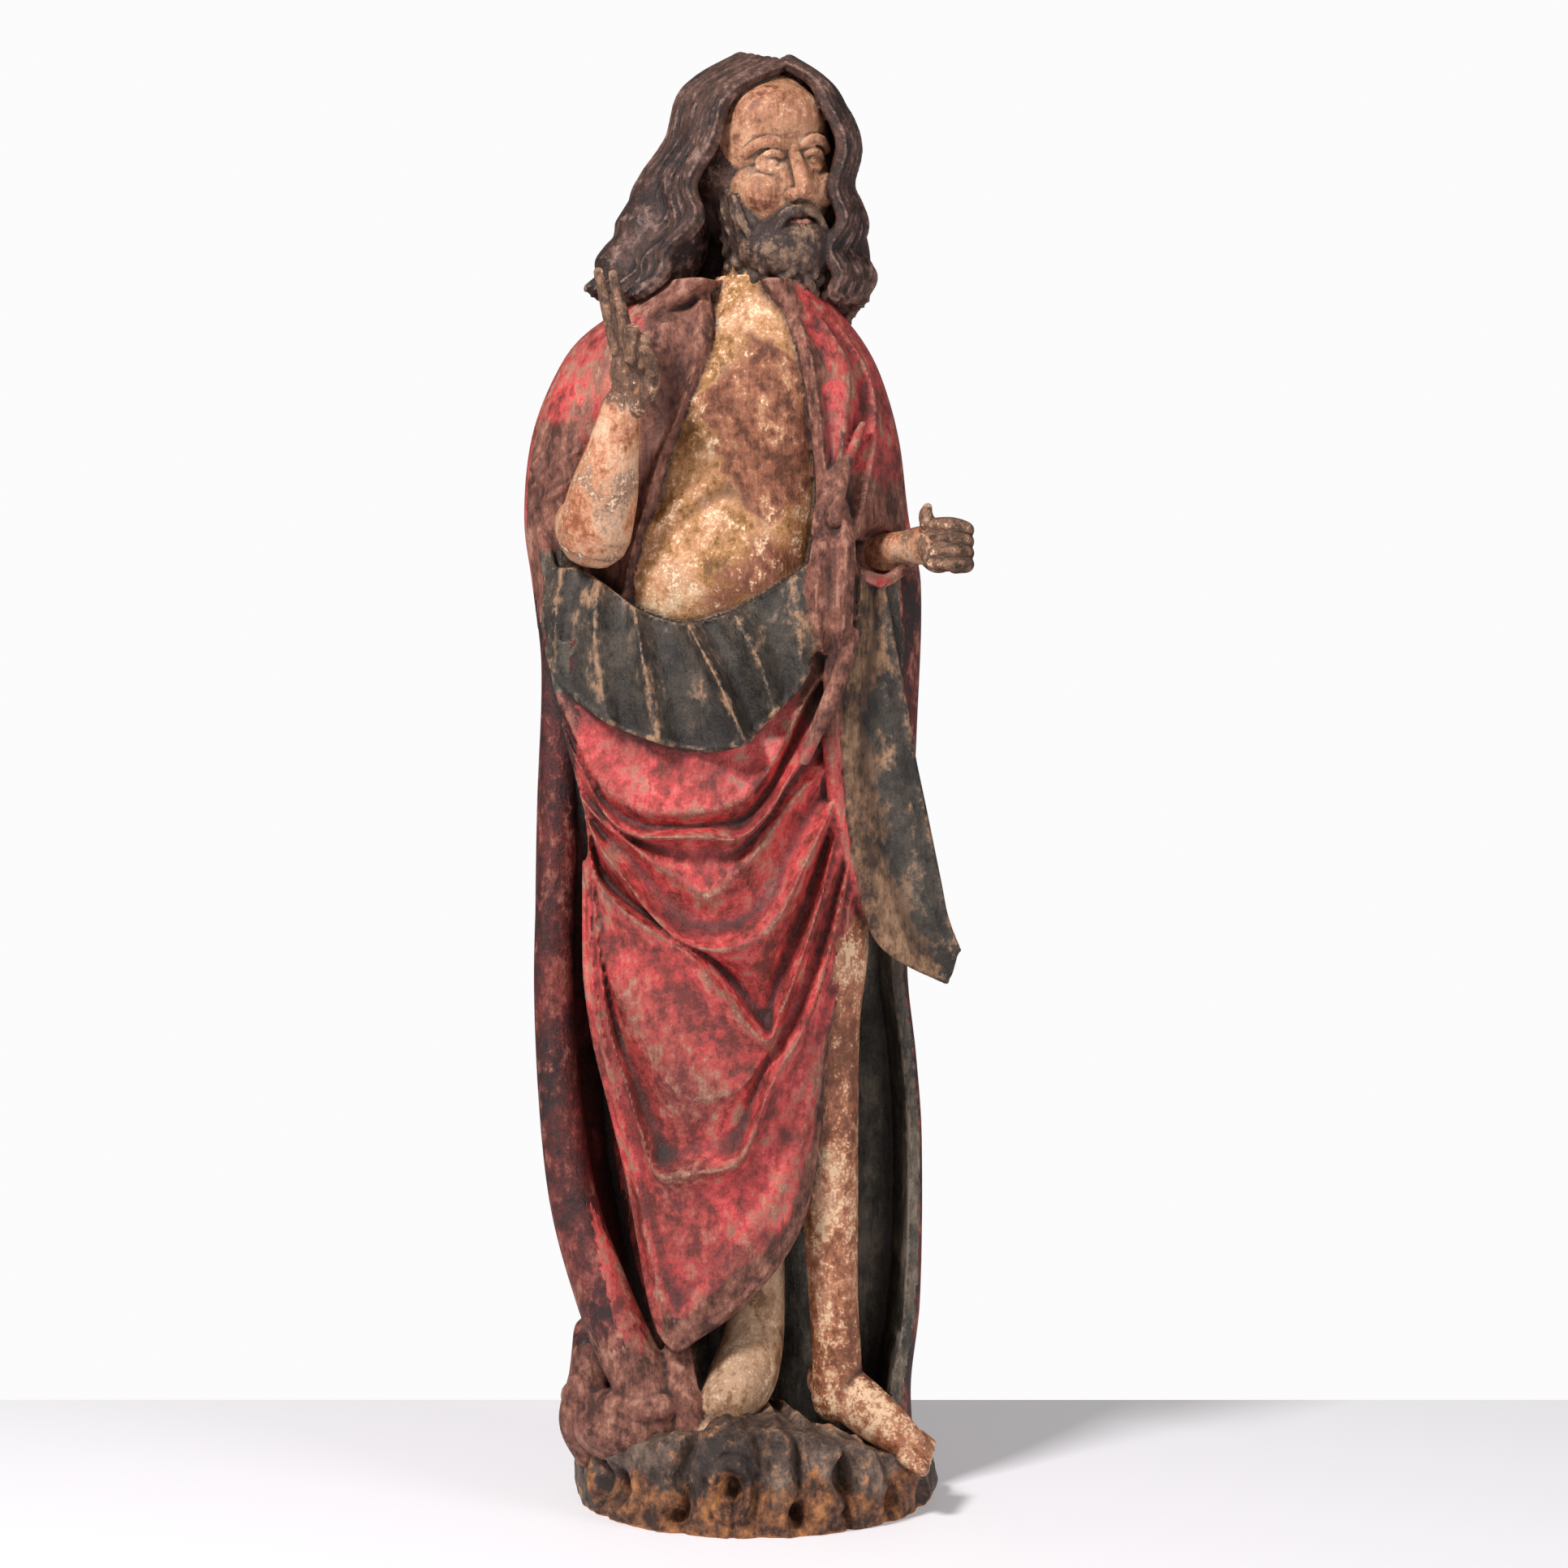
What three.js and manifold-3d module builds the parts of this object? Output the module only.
// A painted wooden figure of Christ, carved in the round from one log together with its rocky mound.
// Millimetres, +Z up, the figure looks along -Y, and the origin is the middle of the mound's underside.
//
// The free carving is written in thousandths of the whole figure's height: x to the viewer's right,
// y away from the viewer, z up from the ground. Each part of it is a loft or a rounded limb, and all of
// them are joined into the single solid that the carver left.

import * as THREE from 'three';
import { LoftGeometry } from 'three/addons/geometries/LoftGeometry.js';
import { mergeVertices } from 'three/addons/utils/BufferGeometryUtils.js';
import Module from 'manifold-3d';

// Driving dimensions, in millimetres.
const wholeHeight = 700; // underside of the mound to the crown
const moundHeight = 30; // underside to the level where the soles rest
const moundWidth = 176;
const moundDepthFront = 88; // from the axis to the front of the mound
const moundDepthBack = 66; // the log's back is cut flatter
const moundHoleRadius = 6; // gouged holes in the rocks
const dryingCrackWidth = 2.4;
const cloakEdge = 5.6; // thickness of the cloak where its rim shows

// Driving proportions, in thousandths of the height.
const soleLevel = 43;
const unit = (wholeHeight - moundHeight) / (1000 - soleLevel);
const edge = cloakEdge / unit;

const wasm = await Module();
wasm.setup();

const { PI, sin, cos, abs, max, min, sqrt, exp } = Math;
const lerp = (a, b, t) => a + (b - a) * t;
const place = (x, y, z) => new THREE.Vector3(x * unit, y * unit, moundHeight + (z - soleLevel) * unit);
const steps = (count, make) => Array.from({ length: count + 1 }, (_, i) => make(i / count));

// A smooth curve through pairs of [position, value], positions rising.
function through(...pairs) {
	const slope = (i) => {
		const a = pairs[max(i - 1, 0)];
		const b = pairs[min(i + 1, pairs.length - 1)];
		return (b[1] - a[1]) / (b[0] - a[0]);
	};
	return (at) => {
		const t = min(max(at, pairs[0][0]), pairs[pairs.length - 1][0]);
		let i = 0;
		while (i < pairs.length - 2 && t > pairs[i + 1][0]) i += 1;
		const [[t0, v0], [t1, v1]] = [pairs[i], pairs[i + 1]];
		const step = t1 - t0;
		const s = (t - t0) / step;
		const rise = 3 * s * s - 2 * s * s * s;
		const bend = slope(i) * step * s * (1 - s) * (1 - s) - slope(i + 1) * step * s * s * (1 - s);
		return lerp(v0, v1, rise) + bend;
	};
}

// A closed geometry as a solid. Faces that shrank to a line are dropped, and one facing inwards is turned.
function solid(geometry) {
	const bare = new THREE.BufferGeometry();
	bare.setAttribute('position', geometry.attributes.position);
	bare.setIndex(geometry.index);
	const merged = mergeVertices(bare, 1e-3);
	const corners = Array.from(merged.index.array);
	const faces = [];
	for (let i = 0; i < corners.length; i += 3) {
		const [a, b, c] = corners.slice(i, i + 3);
		if (a !== b && b !== c && c !== a) faces.push([a, b, c]);
	}
	const vertProperties = merged.attributes.position.array;
	const made = (list) => new wasm.Manifold(
		new wasm.Mesh({ numProp: 3, vertProperties, triVerts: new Uint32Array(list.flat()) }),
	);
	const first = made(faces);
	return first.volume() > 0 ? first : made(faces.map(([a, b, c]) => [a, c, b]));
}

const middleOf = (ring) => ring.reduce((sum, p) => sum.add(p), new THREE.Vector3()).divideScalar(ring.length);

// A loft through rings of [x, y, z], which may go round either way.
function loft(rings, { toPoint = place, caps = true } = {}) {
	const sections = rings.map((ring) => ring.map((p) => toPoint(...p)));
	const half = sections[sections.length >> 1];
	const middle = middleOf(half);
	const facing = half.reduce((sum, p, i) => {
		const next = half[(i + 1) % half.length].clone().sub(middle);
		return sum.add(p.clone().sub(middle).cross(next));
	}, new THREE.Vector3());
	const along = middleOf(sections[sections.length - 1]).sub(middleOf(sections[0]));
	if (facing.dot(along) < 0) sections.forEach((section) => section.reverse());
	return solid(new LoftGeometry(sections, { capStart: caps, capEnd: caps }));
}

// A rounded limb along points of [x, y, z, radius]; flat squeezes it from front to back.
function limb(points, { sides = 8, rows = 8, flat = 1 } = {}) {
	const knots = points.map(([x, y, z]) => new THREE.Vector3(x, y, z));
	const path = new THREE.CatmullRomCurve3(knots, false, 'centripetal');
	const radius = through(...points.map((p, i) => [i / (points.length - 1), p[3]]));
	const rings = [];
	const forward = new THREE.Vector3(0, -1, 0);
	const ring = (t, share, beyond) => {
		const centre = path.getPoint(t);
		const along = path.getTangent(t);
		const across = new THREE.Vector3().crossVectors(forward, along).normalize();
		const out = new THREE.Vector3().crossVectors(along, across);
		const r = radius(t);
		centre.addScaledVector(along, beyond * r);
		rings.push(steps(sides - 1, (s) => {
			const a = (2 * PI * s * (sides - 1)) / sides;
			const p = centre.clone()
				.addScaledVector(across, cos(a) * r * share)
				.addScaledVector(out, sin(a) * r * share * flat);
			return [p.x, p.y, p.z];
		}));
	};
	ring(0, 0.55, -0.84);
	steps(rows, (t) => ring(t, 1, 0));
	ring(1, 0.55, 0.84);
	return loft(rings);
}

// An egg: an ellipsoid about a centre, turned about Z by degrees.
function egg([x, y, z], [a, b, c], { turn = 0, detail = 12 } = {}) {
	const geometry = new THREE.SphereGeometry(1, detail, detail * 0.75);
	geometry.scale(a * unit, b * unit, c * unit);
	geometry.rotateZ(THREE.MathUtils.degToRad(turn));
	geometry.translate(...place(x, y, z).toArray());
	return solid(geometry);
}

// Points spread evenly by share along a line of [x, z] points, smoothly bent.
function along(line, count) {
	const knots = line.map(([x, z]) => new THREE.Vector3(x, 0, z));
	const curve = new THREE.CatmullRomCurve3(knots, false, 'centripetal');
	return steps(count, (t) => {
		const p = curve.getPoint(t);
		return [p.x, p.z];
	});
}

// Draped cloth, carved as ridges and hollows that run the same way. Each row is a line of [x, z] points,
// lifted off the plain surface front(x, z) by one height at its start and another at its end. The two
// edges are shut.
function drape({ rows, front, behind, columns }) {
	const rings = rows.map(([line, lift, endLift = lift]) => {
		const points = along(line, columns);
		const fore = points.map(([x, z], i) => [x, front(x, z) - lerp(lift, endLift, i / columns), z]);
		const rear = points.map(([x, z], i) => [x, behind(x, z, i / columns, fore[i][1]), z]);
		return [...fore, ...rear.reverse()];
	});
	const shut = (ring) => ring.map((p, i) => p.map((v, k) => (v + ring[ring.length - 1 - i][k]) / 2));
	return loft([shut(rings[0]), ...rings, shut(rings[rings.length - 1])], { caps: false });
}

// The cloak's outline seen from the front, by level.
const cloakLeft = through(
	[36, -126], [55, -126], [78, -117], [101, -108], [134, -121], [191, -136], [247, -148], [360, -153],
	[473, -155], [574, -151], [631, -157], [676, -161], [732, -155], [777, -138], [804, -118], [836, -70],
);
const cloakRight = through(
	[36, 108], [78, 106], [134, 112], [247, 113], [304, 109], [360, 103], [416, 104], [529, 111],
	[631, 115], [676, 107], [732, 100], [777, 87], [804, 72], [836, 44],
);
const backDepth = through([36, 74], [120, 70], [300, 76], [560, 80], [720, 76], [790, 62], [836, 40]);

// The long pipes that run down the cloak's back.
const pleats = (angle, z) => 3.2 * sin(angle * 8) * min(1, max(0, (700 - z) / 300));

// The cloak's outside, its angle running from the front, 0 degrees, round by the left, 90, and the back.
function cloakWall(degrees, z) {
	const angle = (degrees * PI) / 180;
	const [l, r] = [cloakLeft(z), cloakRight(z)];
	const wave = pleats(angle, z);
	const deep = cos(angle) < 0 ? backDepth(z) + wave : 64;
	return [(l + r) / 2 - ((r - l) / 2 + wave) * sin(angle), -deep * cos(angle), z];
}

// The body and the cloak round it. Below the hips the front is hollowed into a bay behind the legs, whose two
// sides are the hanging edges of the cloak.
function cloakedBody() {
	const fromAngle = through([36, 60], [110, 60], [300, 62], [640, 62], [760, 50], [836, 30]);
	const toAngle = through(
		[36, 292], [110, 284], [300, 278], [450, 282], [640, 300], [760, 310], [836, 330],
	);
	const leftBay = through([36, 6], [300, 12], [420, -12], [560, -50], [660, -34], [790, -30], [836, -20]);
	const rightBay = through([36, 22], [300, 28], [420, 0], [560, -50], [660, -34], [790, -30], [836, -20]);
	return loft(steps(12, (t) => lerp(36, 838, t)).map((z) => {
		const [from, to] = [fromAngle(z), toAngle(z)];
		const outer = steps(20, (t) => cloakWall(lerp(from, to, t), z));
		const [a, b] = [outer[0], outer[20]];
		const wall = edge + 9;
		const inner = steps(6, (t) => {
			const depth = lerp(rightBay(z), leftBay(z), t) + 3 * sin(t * PI * 5);
			return [lerp(b[0] - wall, a[0] + wall + 8, t), depth, z];
		});
		return [...outer, [b[0] - edge, b[1], z], ...inner, [a[0] + edge, a[1], z]];
	}));
}

// The bare chest and belly, lean, with the rib arch cut in.
const chestMiddle = through([590, -34], [640, -28], [700, -16], [760, -4], [840, 4]);
const chestHalf = through([590, 60], [640, 74], [700, 70], [760, 56], [800, 44], [840, 34]);
const chestDepth = through([590, 60], [630, 74], [665, 68], [700, 62], [750, 68], [790, 60], [840, 38]);
function chestFront(x, z) {
	const across = min(1, abs((x - chestMiddle(z)) / chestHalf(z)));
	return -chestDepth(z) * (1 - across ** 3) ** 0.45;
}
function torso() {
	return loft([590, 624, 652, 668, 686, 700, 712, 732, 756, 784, 842].map((z) => {
		const x = (u) => chestMiddle(z) + chestHalf(z) * -cos(PI * u);
		const fore = steps(12, (u) => {
			const ribArch = 706 - 0.55 * abs(x(u) - chestMiddle(z)) - 0.006 * (x(u) - chestMiddle(z)) ** 2;
			const lift = 4 * exp(-(((z - ribArch) / 9) ** 2)) - 3 * exp(-(((z - ribArch + 14) / 9) ** 2));
			return [x(u), chestFront(x(u), z) - lift * sin(PI * u), z];
		});
		return [...fore, [x(0.9), 10, z], [x(0.1), 10, z]];
	}));
}

// The skirt of the cloak, drawn across the legs from hip to hip. Its folds hang as nested cups, hem first.
const skirtLeft = through(
	[117, -58], [141, -70], [184, -76], [239, -87], [298, -102], [347, -112], [436, -114], [472, -119],
	[515, -128], [592, -140],
);
const skirtRight = through(
	[117, -50], [138, -16], [174, 25], [214, 38], [258, 43], [313, 49], [356, 58], [433, 68], [592, 62],
);
const skirtPeak = through([117, 88], [200, 92], [300, 98], [400, 98], [480, 95], [592, 84]);
const skirtRim = through([117, 80], [200, 66], [330, 60], [592, 58]);
function skirtFront(x, z) {
	const [l, r] = [skirtLeft(z), skirtRight(z)];
	const across = min(1, abs((x - (l + r) / 2) / ((r - l) / 2)));
	return -(skirtRim(z) + (skirtPeak(z) - skirtRim(z)) * sqrt(1 - across * across));
}
const skirtFolds = [
	[[
		[-114, 440], [-112, 347], [-88, 239], [-70, 141], [-54, 115], [-38, 121],
		[-2, 148], [34, 200], [46, 270], [60, 356], [68, 433],
	], -2],
	[[
		[-113, 444], [-107, 345], [-82, 239], [-64, 160], [-53, 137], [-36, 150],
		[-4, 188], [26, 236], [42, 296], [58, 366], [67, 436],
	], 1],
	[[
		[-112, 448], [-104, 345], [-78, 245], [-62, 180], [-50, 158], [-34, 172],
		[-6, 210], [20, 256], [38, 308], [56, 376], [66, 439],
	], -3],
	[[
		[-112, 452], [-101, 345], [-80, 272], [-68, 224], [-54, 214], [-34, 216],
		[-8, 232], [14, 276], [34, 322], [54, 386], [66, 442],
	], 1],
	[[
		[-112, 456], [-99, 345], [-84, 292], [-73, 258], [-64, 236], [-38, 238],
		[-8, 248], [12, 296], [36, 338], [54, 396], [65, 446],
	], 6],
	[[
		[-112, 460], [-97, 350], [-80, 302], [-68, 272], [-55, 254], [-36, 256],
		[-10, 268], [8, 308], [30, 350], [50, 404], [63, 449],
	], -3],
	[[
		[-112, 463], [-98, 370], [-76, 330], [-60, 300], [-44, 288], [-28, 288],
		[-8, 294], [8, 318], [26, 356], [46, 412], [60, 453],
	], 2],
	[[
		[-113, 466], [-104, 408], [-80, 380], [-60, 360], [-40, 340], [-20, 322],
		[4, 310], [16, 332], [28, 366], [44, 416], [56, 458],
	], 0],
	[[
		[-113, 469], [-104, 430], [-82, 408], [-60, 394], [-40, 381], [-20, 356],
		[8, 326], [19, 346], [30, 374], [46, 422], [55, 464],
	], 8],
	[[
		[-114, 472], [-105, 438], [-84, 416], [-60, 402], [-38, 390], [-16, 366],
		[6, 344], [15, 362], [25, 390], [40, 430], [53, 470],
	], -12, -7],
	[[
		[-114, 475], [-102, 452], [-84, 430], [-67, 408], [-48, 392], [-24, 386],
		[0, 392], [17, 408], [34, 442], [46, 466], [54, 482],
	], 7],
	[[
		[-115, 479], [-102, 462], [-84, 446], [-64, 424], [-46, 409], [-24, 403],
		[-4, 411], [12, 430], [28, 460], [42, 482], [55, 496],
	], -7],
	[[
		[-117, 486], [-102, 470], [-86, 458], [-68, 444], [-50, 432], [-30, 422],
		[-10, 438], [8, 458], [24, 482], [42, 500], [56, 514],
	], 1],
	[[
		[-119, 494], [-106, 478], [-92, 464], [-72, 455], [-50, 450], [-30, 449],
		[-10, 452], [8, 470], [22, 492], [40, 514], [57, 530],
	], -6],
	[[
		[-130, 536], [-119, 512], [-98, 474], [-76, 461], [-52, 461], [-32, 461],
		[-10, 460], [10, 477], [24, 500], [42, 530], [58, 566],
	], 8],
	[[
		[-133, 548], [-122, 524], [-100, 484], [-76, 469], [-52, 467], [-32, 468],
		[-8, 472], [10, 492], [23, 516], [40, 548], [58, 576],
	], -2, -9],
	[[
		[-136, 560], [-124, 536], [-106, 500], [-80, 480], [-52, 476], [-30, 478],
		[-6, 486], [12, 508], [26, 534], [40, 560], [59, 584],
	], 3],
	[[
		[-138, 572], [-120, 556], [-96, 530], [-70, 510], [-48, 504], [-26, 506],
		[-4, 516], [14, 538], [28, 558], [42, 574], [60, 588],
	], -2],
	[[
		[-140, 592], [-120, 590], [-96, 588], [-70, 586], [-48, 586], [-26, 586],
		[-4, 586], [14, 588], [28, 590], [42, 592], [62, 594],
	], 0],
];
const skirt = () => drape({
	rows: skirtFolds,
	front: skirtFront,
	behind: (x, z, share, y) => (share < 0.3 || z > 400 ? -8 : y + edge),
	columns: 14,
});

// The cloak's top edge, turned down over the skirt: its dark lining hangs like a bib, in upright folds.
const liningSwell = through([-142, 52], [-120, 76], [-80, 93], [-40, 99], [0, 97], [46, 86]);
const liningTop = through(
	[-142, 640], [-114, 640], [-86, 618], [-60, 606], [-38, 603], [-20, 609], [11, 625], [46, 648],
);
const liningFront = (x, z) => -liningSwell(x) * (1 - 0.16 * max(0, 1 - (liningTop(x) - z) / 50) ** 2);
const liningFolds = [
	[[[-142, 642], [-144, 616], [-141, 590]], 0],
	[[[-130, 641], [-134, 606], [-134, 570]], 5],
	[[[-118, 640], [-124, 598], [-122, 556]], -3],
	[[[-104, 632], [-106, 590], [-98, 538]], 4],
	[[[-92, 623], [-90, 582], [-84, 531]], -3],
	[[[-80, 614], [-72, 572], [-62, 524]], 4],
	[[[-68, 608], [-56, 566], [-44, 520]], -2],
	[[[-54, 604], [-36, 568], [-26, 519]], 0],
	[[[-44, 603], [-26, 566], [-9, 527]], 8],
	[[[-30, 605], [-12, 568], [0, 536]], -4],
	[[[-14, 611], [2, 576], [12, 543]], 3],
	[[[6, 622], [16, 588], [22, 552]], -4],
	[[[24, 634], [30, 600], [32, 564]], 3],
	[[[46, 650], [46, 620], [44, 590]], 0],
];
const turnedLining = () => drape({
	rows: liningFolds,
	front: liningFront,
	behind: (x, z, share, y) => y + edge + 16 * (1 - share),
	columns: 5,
});

// The cloak over the shoulders. Its folds run down from the neck, from the bare chest outwards.
const shoulderTop = (z) => (z > 790 ? ((z - 790) / 60) ** 1.5 : 0);
const nearFront = (x, z) => {
	const u = min(1, max(0, (x - cloakLeft(z)) / 62));
	return -lerp(12, 62, sin(u * PI * 0.5)) * (1 - 0.6 * shoulderTop(z));
};
const farFront = (x, z) => {
	const u = min(1, max(0, (cloakRight(z) - x) / 56));
	return -lerp(12, 66, sin(u * PI * 0.5)) * (1 - 0.6 * shoulderTop(z));
};
const shoulderCloth = () => [
	drape({
		rows: [
			[[
				[-32, 838], [-28, 806], [-33, 778], [-43, 750],
				[-57, 717], [-66, 684], [-76, 646], [-84, 600],
			], -4],
			[[
				[-38, 838], [-36, 806], [-40, 778], [-50, 748],
				[-64, 715], [-74, 682], [-84, 646], [-92, 600],
			], 2],
			[[
				[-44, 838], [-46, 806], [-52, 776], [-62, 746],
				[-76, 712], [-86, 680], [-96, 644], [-104, 600],
			], -3, -16],
			[[
				[-54, 837], [-60, 806], [-68, 776], [-78, 746],
				[-88, 712], [-98, 680], [-106, 644], [-112, 600],
			], 4, -24],
			[[
				[-64, 834], [-76, 806], [-86, 774], [-94, 744],
				[-104, 710], [-114, 680], [-118, 644], [-120, 600],
			], 2, -22],
			[[
				[-72, 830], [-92, 804], [-104, 772], [-112, 742],
				[-122, 710], [-130, 680], [-132, 644], [-130, 600],
			], 8, -4],
			[[
				[-78, 826], [-108, 800], [-122, 770], [-132, 740],
				[-140, 708], [-144, 678], [-146, 644], [-142, 600],
			], 4, 6],
			[[
				[-84, 822], [-120, 794], [-137, 768], [-149, 738],
				[-153, 706], [-157, 676], [-155, 644], [-150, 600],
			], 0],
		],
		front: nearFront,
		behind: () => 8,
		columns: 9,
	}),
	drape({
		rows: [
			[[[16, 838], [20, 819], [31, 783], [38, 739], [42, 695], [40, 664]], -3],
			[[[20, 838], [28, 816], [39, 780], [45, 738], [48, 695], [44, 662]], 4],
			[[[24, 837], [34, 814], [46, 780], [50, 740], [53, 698], [48, 661]], -3],
			[[[30, 836], [48, 808], [64, 778], [62, 736], [56, 700], [51, 660]], 7],
			[[[34, 834], [54, 804], [72, 774], [70, 732], [62, 692], [56, 660]], -6],
			[[[38, 832], [62, 802], [80, 768], [82, 728], [76, 692], [66, 660]], 7, 8],
			[[[42, 828], [68, 798], [86, 762], [92, 726], [88, 690], [78, 660]], -2, 0],
			[[[46, 824], [74, 794], [90, 758], [100, 722], [104, 690], [104, 660]], 0],
		],
		front: farFront,
		behind: () => 8,
		columns: 7,
	}),
];

// The end of the cloak over the left forearm: a band in front of it, and a long flap hanging beside.
const hangingEnd = () => [
	drape({
		rows: [
			[[[44, 684], [37, 650], [33, 606], [36, 574], [44, 540]], 0],
			[[[50, 684], [45, 650], [42, 606], [44, 574], [48, 540]], 7],
			[[[56, 684], [54, 650], [52, 606], [52, 574], [53, 540]], 2],
			[[[62, 684], [62, 650], [60, 606], [59, 574], [58, 540]], 8],
			[[[67, 684], [68, 650], [67, 606], [66, 574], [62, 540]], 0],
		],
		front: (x, z) => -86 + 0.9 * max(0, z - 652),
		behind: () => -40,
		columns: 4,
	}),
	drape({
		rows: [
			[[[70, 650], [66, 607], [58, 564], [55, 520], [60, 471], [70, 427], [86, 386], [131, 359]], 0],
			[[[73, 650], [70, 606], [63, 562], [61, 520], [66, 472], [77, 428], [93, 385], [132, 360]], 9, 4],
			[[
				[77, 650], [76, 604], [71, 560], [70, 520],
				[76, 474], [87, 430], [103, 386], [134, 362],
			], 4, 2],
			[[[79, 650], [81, 602], [78, 558], [79, 518], [86, 476], [97, 432], [112, 392], [136, 366]], -3],
			[[[81, 650], [87, 600], [90, 553], [95, 514], [104, 475], [114, 430], [125, 396], [138, 374]], 2],
			[[
				[82, 650], [94, 597], [104, 548], [110, 512],
				[118, 474], [128, 425], [133, 400], [140, 382],
			], -1],
		],
		front: (x) => -lerp(72, 42, (x - 60) / 80),
		behind: (x, z, share, y) => y + edge + 2,
		columns: 10,
	}),
];

// The cloak's left edge rolls forward and runs down into a bunch of cloth beside the right foot.
function sideRolls() {
	return [
		limb([
			[-140, -20, 600, 10], [-141, -28, 470, 13], [-141, -32, 347, 14], [-127, -42, 225, 16],
			[-103, -56, 150, 19], [-80, -66, 100, 20], [-64, -74, 68, 17],
		], { rows: 7, sides: 6 }),
		limb(
			[[-112, -34, 118, 12], [-112, -52, 92, 14], [-118, -48, 62, 15], [-112, -44, 40, 12]],
			{ rows: 3 },
		),
		limb([[-122, -30, 74, 11], [-98, -70, 76, 11], [-62, -86, 78, 10]], { rows: 3 }),
		limb([[-52, -62, 112, 9], [-48, -76, 88, 11], [-42, -82, 62, 11]], { rows: 2 }),
		egg([-84, -50, 60], [40, 42, 26], { detail: 8 }),
	];
}

function legsAndFeet() {
	const leg = limb([
		[46, -28, 440, 30], [53, -46, 385, 25], [50, -44, 330, 22], [51, -40, 255, 20],
		[52, -38, 200, 19], [54, -36, 144, 17], [56, -34, 105, 17], [57, -36, 74, 18],
	], { sides: 8, rows: 6 });
	const foot = limb(
		[[52, -30, 86, 17], [74, -46, 70, 18], [94, -56, 56, 15], [106, -60, 46, 12]],
		{ sides: 7, rows: 4, flat: 0.8 },
	);
	const other = limb([
		[-4, -8, 260, 24], [0, -18, 200, 20], [3, -26, 150, 18], [-1, -38, 112, 21],
		[-9, -56, 90, 23], [-20, -72, 77, 18],
	], { sides: 7, rows: 5 });
	const toes = steps(4, (t) => limb([
		[lerp(102, 112, t), lerp(-74, -46, t), lerp(43, 50, t), lerp(6.5, 5, t)],
		[lerp(113, 121, t), lerp(-79, -44, t), lerp(36, 44, t), lerp(5.5, 3.6, t)],
	], { sides: 4, rows: 1 }));
	const otherToes = steps(4, (t) => limb([
		[lerp(-14, -36, t), lerp(-84, -76, t), lerp(72, 70, t), lerp(7, 5, t)],
		[lerp(-20, -46, t), lerp(-96, -84, t), lerp(64, 62, t), lerp(6, 4, t)],
	], { sides: 4, rows: 1 }));
	return [leg, foot, other, ...toes, ...otherToes];
}

// The right arm is bent up to bless, with two fingers raised and two folded on the palm.
function blessingArm() {
	const forearm = limb(
		[[-107, -74, 664, 25], [-100, -84, 692, 23], [-93, -92, 722, 17], [-87, -98, 748, 13]],
		{ sides: 8, rows: 4 },
	);
	const elbow = limb([[-116, -30, 672, 24], [-108, -70, 664, 25]], { sides: 8, rows: 1 });
	const palm = egg([-83, -104, 772], [14, 10, 24], { detail: 7 });
	const finger = (points, rows) => limb(points, { sides: 4, rows });
	return [
		forearm, elbow, palm,
		finger([[-90, -106, 784, 5.6], [-97, -105, 812, 4.4], [-103, -101, 836, 3.4]], 2),
		finger([[-83, -110, 786, 5.6], [-88, -109, 812, 4.4], [-93, -104, 834, 3.4]], 2),
		finger([[-80, -112, 790, 6], [-80, -120, 795, 5.4], [-81, -118, 778, 4.8]], 2),
		finger([[-72, -110, 786, 5.4], [-72, -118, 789, 5], [-74, -115, 774, 4.4]], 2),
		finger([[-70, -104, 756, 7], [-67, -112, 770, 6], [-72, -119, 783, 5]], 2),
	];
}

// The left arm comes out of a hollow sleeve. Its fist once held something, and the thumb stands up from it.
function sleeveHollow() {
	return egg([87, -62, 654], [17, 26, 19], { detail: 8 });
}
function holdingArm() {
	const forearm = limb(
		[[70, -10, 652, 18], [98, -34, 653, 16], [117, -54, 656, 14]],
		{ sides: 7, rows: 2 },
	);
	const palm = egg([125, -57, 656], [15, 13, 18], { detail: 7 });
	const fingers = [0, 1, 2, 3].map((i) => limb([
		[116, -68, 669 - i * 8.6, 5.6], [130, -75, 670 - i * 8.6, 5.6],
		[141, -66, 667 - i * 8.6, 5.2], [142, -54, 665 - i * 8.6, 4.8],
	], { sides: 4, rows: 2 }));
	const thumb = limb(
		[[113, -58, 666, 6.5], [114, -62, 678, 5], [117, -64, 687, 3.4]],
		{ sides: 5, rows: 2 },
	);
	const lip = limb([[72, -70, 636, 5], [88, -60, 632, 4.4], [104, -42, 642, 4]], { sides: 4, rows: 2 });
	return [forearm, palm, thumb, lip, ...fingers];
}

// The head, on its own upright axes: the face looks along -y, the eyes are half way up, and it is then turned
// and tipped into place.
const headCentre = [10, -8, 917];
const headTurn = THREE.MathUtils.degToRad(24);
const headTip = THREE.MathUtils.degToRad(6);
function onHead([x, y, z, r]) {
	const p = new THREE.Vector3(x, y, z)
		.applyAxisAngle(new THREE.Vector3(0, 1, 0), -headTip)
		.applyAxisAngle(new THREE.Vector3(0, 0, 1), headTurn);
	return [p.x + headCentre[0], p.y + headCentre[1], p.z + headCentre[2], r];
}

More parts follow.
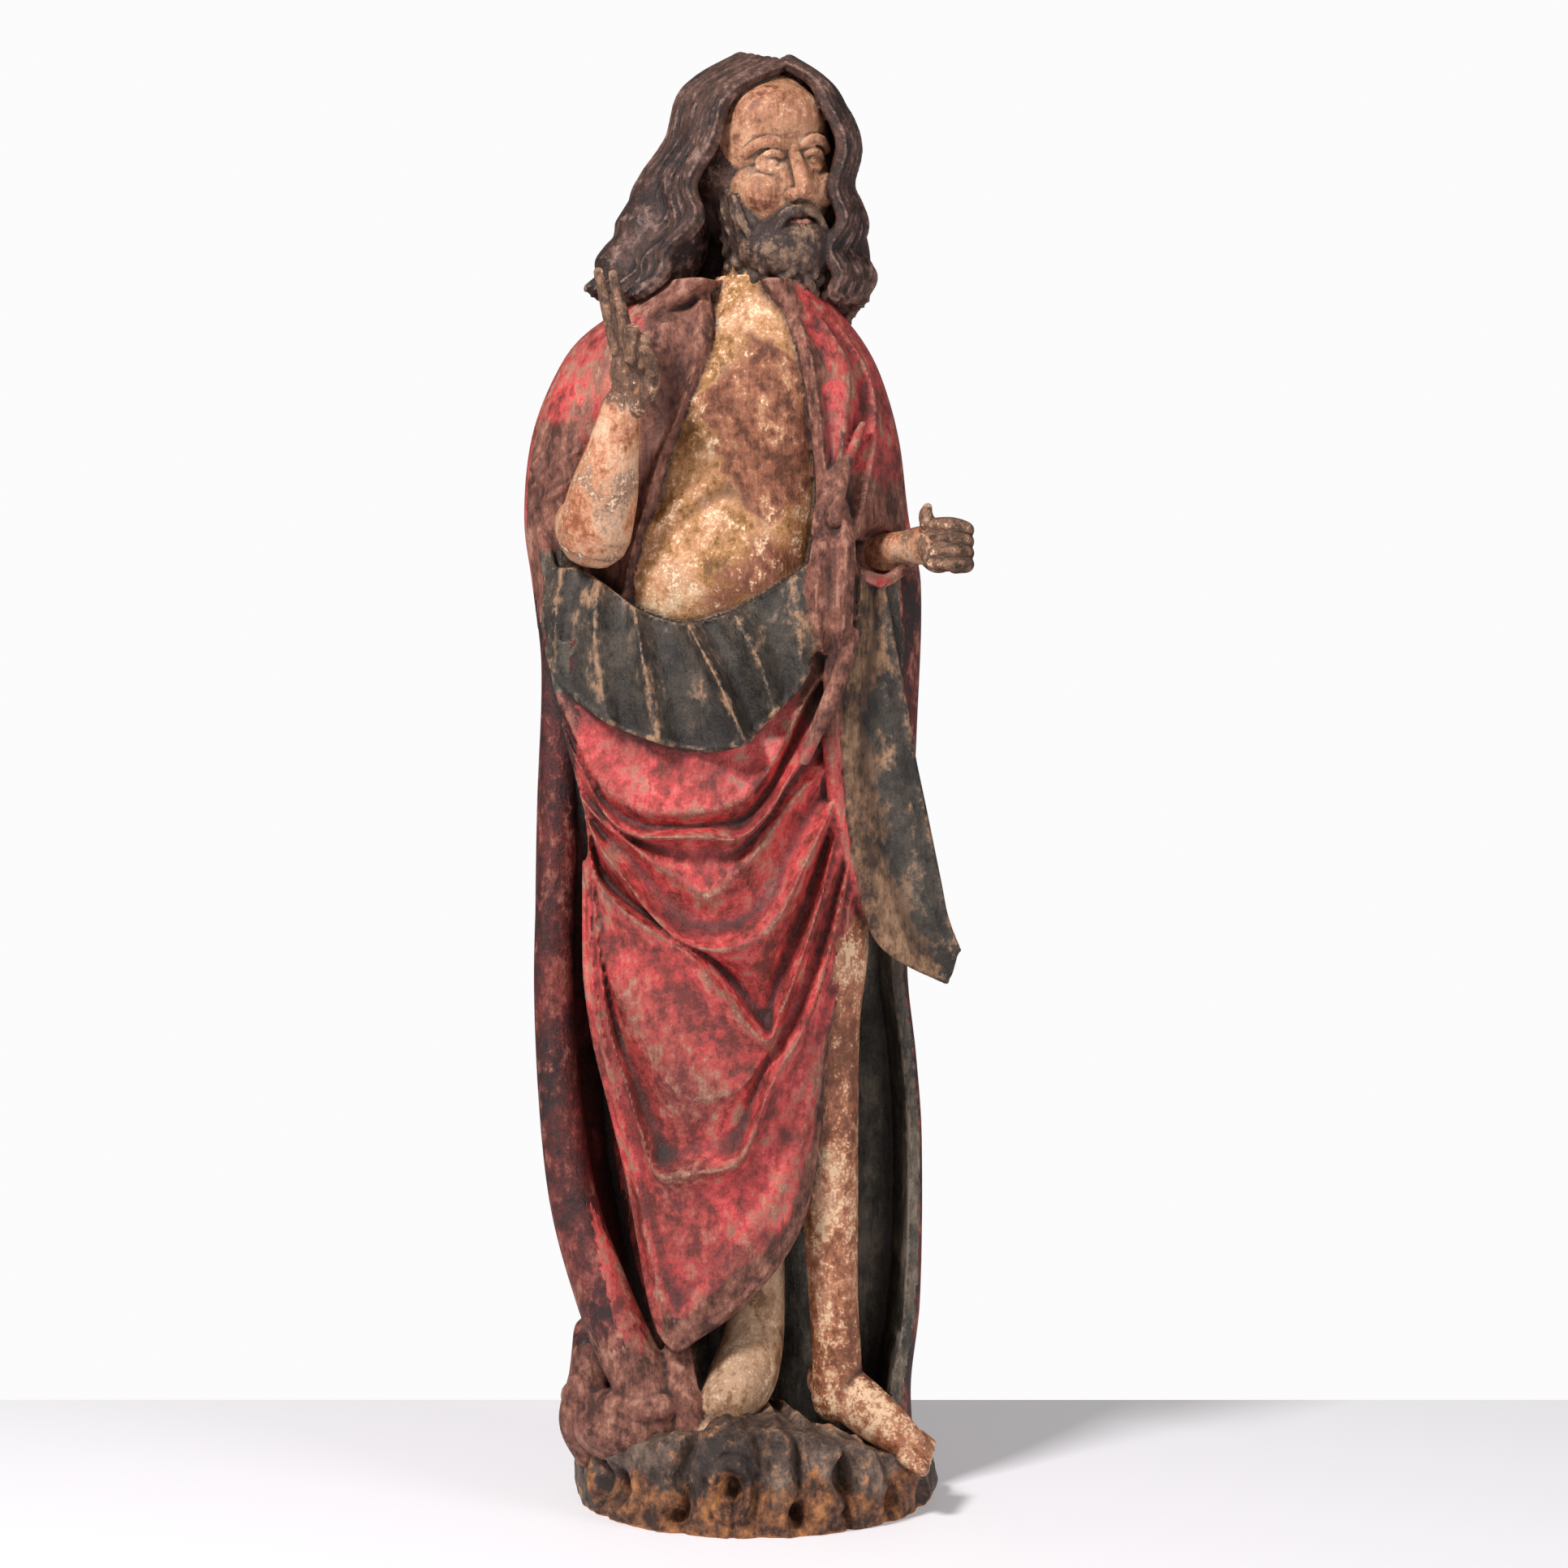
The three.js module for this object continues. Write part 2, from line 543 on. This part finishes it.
function head() {
	const turn = THREE.MathUtils.radToDeg(headTurn);
	const both = (make) => [-1, 1].map(make);
	const bulge = (p, radii, detail = 7) => egg(onHead(p), radii, { turn, detail });
	const line = (points, options) => limb(points.map(onHead), { sides: 4, rows: 2, ...options });
	return [
		bulge([0, 4, 20], [44, 50, 50], 10),
		bulge([0, -6, -16], [39, 40, 50], 10),
		...both((s) => bulge([s * 16, -37, 1], [10, 8, 6.5])),
		...both((s) => line([[s * 6, -41, 12, 3.6], [s * 17, -43, 15, 4.4], [s * 29, -34, 12, 4]])),
		line([[0, -42, 12, 4.4], [0, -50, -6, 5.8], [0, -54, -20, 8.5]]),
		line([[-11, -41, -46, 3.4], [0, -46, -47, 5], [11, -41, -46, 3.4]]),
		...both((s) => line([[s * 3, -48, -33, 4.2], [s * 13, -43, -38, 5], [s * 22, -34, -50, 4]])),
		bulge([0, -18, -58], [36, 32, 28], 8),
		...[-1, 0, 1].map((i) => line([
			[i * 18, -38 + abs(i) * 8, -52, 11],
			[i * 16, -43 + abs(i) * 9, -68, 12],
			[i * 10, -38 + abs(i) * 7, -81, 8],
		])),
		...both((s) => line([[s * 37, -6, -16, 10], [s * 34, -18, -40, 12], [s * 24, -30, -66, 11]])),
		limb([[2, -4, 806, 34], [6, -8, 850, 29], [9, -6, 880, 28]], { sides: 8, rows: 2 }),
	];
}

// Hair is parted on the crown and falls in waved locks to both shoulders and down the back.
function hair() {
	const paths = {
		faceLeft: [
			[18, -30, 983], [-14, -46, 964], [-36, -48, 918],
			[-42, -46, 880], [-58, -44, 850], [-76, -42, 828],
		],
		sideLeft: [
			[-8, -4, 990], [-48, 0, 973], [-67, 0, 922],
			[-83, -2, 882], [-102, -12, 850], [-111, -22, 834],
		],
		backLeft: [
			[-4, 20, 984], [-34, 42, 960], [-46, 48, 910],
			[-58, 52, 860], [-64, 52, 820], [-66, 52, 798],
		],
		faceRight: [
			[22, -30, 984], [48, -40, 965], [58, -42, 918],
			[56, -38, 882], [54, -38, 852], [54, -36, 828],
		],
		sideRight: [
			[24, -4, 989], [57, 0, 968], [66, 2, 924],
			[68, 2, 886], [75, -4, 854], [73, -12, 828],
		],
		backRight: [
			[12, 20, 984], [42, 42, 958], [50, 48, 910],
			[52, 52, 860], [50, 52, 820], [46, 52, 798],
		],
	};
	const lock = (a, b, s, rows) => {
		const path = a.map((p, i) => p.map((v, k) => lerp(v, b[i][k], s)));
		return limb(path.map(([x, y, z], i) => {
			const wave = i > 1 ? 4 * sin(i * 2.4 + s * 9) : 0;
			return [x + wave, y - wave * 0.6, z, [13, 15, 15, 16, 15, 9][i]];
		}), { sides: 4, rows });
	};
	const spread = (a, b, count, rows) => steps(count, (s) => lock(a, b, s, rows));
	return [
		egg([2, 12, 926], [57, 56, 68], { detail: 9 }),
		egg([-8, 34, 862], [56, 30, 62], { detail: 8 }),
		limb([[-52, 6, 904, 30], [-68, -2, 864, 36], [-86, -10, 844, 26]], { sides: 6, rows: 1 }),
		limb([[50, 14, 900, 22], [56, 8, 862, 26], [58, 4, 838, 24]], { sides: 6, rows: 2 }),
		...spread(paths.faceLeft, paths.sideLeft, 3, 5),
		...spread(paths.sideLeft, paths.backLeft, 2, 3).slice(1),
		...spread(paths.faceRight, paths.sideRight, 2, 5),
		...spread(paths.sideRight, paths.backRight, 2, 3).slice(1),
		...spread(paths.backLeft, paths.backRight, 3, 3).slice(1, -1),
	];
}

// The rocky mound: an oval block with a domed top, whose wall is cut into boulders.
function mound() {
	const half = moundWidth / 2;
	const clefts = [-104, -47, 4, 33, 66, 94].map((x) => x * unit);
	const wall = (angle, share) => {
		const [s, c] = [sin(angle), cos(angle)];
		const deep = c > 0 ? moundDepthFront : moundDepthBack;
		const front = max(0, c);
		const rim = moundHeight * (0.86 + 0.74 * front * front - 0.2 * max(0, -s) ** 2);
		const cleft = clefts.reduce((sum, x) => sum + exp(-(((-half * s - x) / (4 * unit)) ** 2)), 0) * front;
		const bulge = 1 + 0.035 * sin(share * PI) - 0.075 * cleft * sin(min(1, share * 1.4) * PI * 0.5);
		return { s, c, deep, rim, bulge };
	};
	const ring = (share, inward, rise) => steps(35, (t) => {
		const { s, c, deep, rim, bulge } = wall((2 * PI * t * 35) / 36, share);
		const scale = inward * bulge;
		return [-half * s * scale, -deep * c * scale, min(share, 1) * rim + rise];
	});
	const rings = [
		ring(0, 0.97, 0), ring(0.3, 0.99, 0), ring(0.8, 0.965, 0), ring(1, 0.88, 2), ring(1, 0.55, 6),
	];
	let block = loft(rings, { toPoint: (x, y, z) => new THREE.Vector3(x, y, z) });
	const gouge = ([x, z, radius]) => {
		const y = -moundDepthFront * sqrt(1 - min(0.95, (x * unit / half) ** 2));
		const ball = new THREE.SphereGeometry(radius, 7, 5);
		ball.scale(1, 1.5, 1.15);
		ball.translate(x * unit, y, z * unit);
		return solid(ball);
	};
	const holes = [[-92, 26, 1], [-15, 36, 1.05], [30, 18, 0.6], [62, 38, 0.95]];
	holes.forEach(([x, z, size]) => { block = block.subtract(gouge([x, z, size * moundHoleRadius])); });
	[[-47, 34], [-14, 28], [66, 30]].forEach(([x, top]) => {
		const crack = new THREE.CylinderGeometry(0.2, dryingCrackWidth / 2, top * unit, 4);
		crack.rotateX(PI / 2);
		crack.scale(1, 8, 1);
		const y = -moundDepthFront * sqrt(1 - (x * unit / half) ** 2);
		crack.translate(x * unit, y, (top * unit) / 2 - 0.5);
		block = block.subtract(solid(crack));
	});
	return block;
}

const joined = (pieces) => pieces.reduce((whole, piece) => whole.add(piece));
const clothed = joined([
	cloakedBody(), torso(), skirt(), turnedLining(), ...shoulderCloth(), ...hangingEnd(),
]);
const carved = joined([
	clothed.subtract(sleeveHollow()), mound(), ...sideRolls(), ...legsAndFeet(),
	...blessingArm(), ...holdingArm(),
	...head(), ...hair(),
]);

// Nothing of the figure reaches below the mound's flat underside.
function above(solidPart) {
	const block = new THREE.BoxGeometry(wholeHeight, wholeHeight, wholeHeight);
	block.translate(0, 0, wholeHeight / 2);
	return solidPart.intersect(solid(block));
}

// Pockets left between the joined parts are solid wood, so only the outer skin is kept.
const skins = above(carved).decompose().sort((a, b) => b.volume() - a.volume());
const mesh = skins[0].getMesh();
const geometry = new THREE.BufferGeometry();
geometry.setAttribute('position', new THREE.BufferAttribute(new Float32Array(mesh.vertProperties), 3));
geometry.setIndex(new THREE.BufferAttribute(mesh.triVerts, 1));
geometry.computeVertexNormals();

const paintedWood = new THREE.MeshStandardMaterial({ color: 0x7a3328, roughness: 0.75, metalness: 0 });
const figure = new THREE.Mesh(geometry, paintedWood);
figure.name = 'christ_figure';

const part = new THREE.Group();
part.add(figure);
export default part;
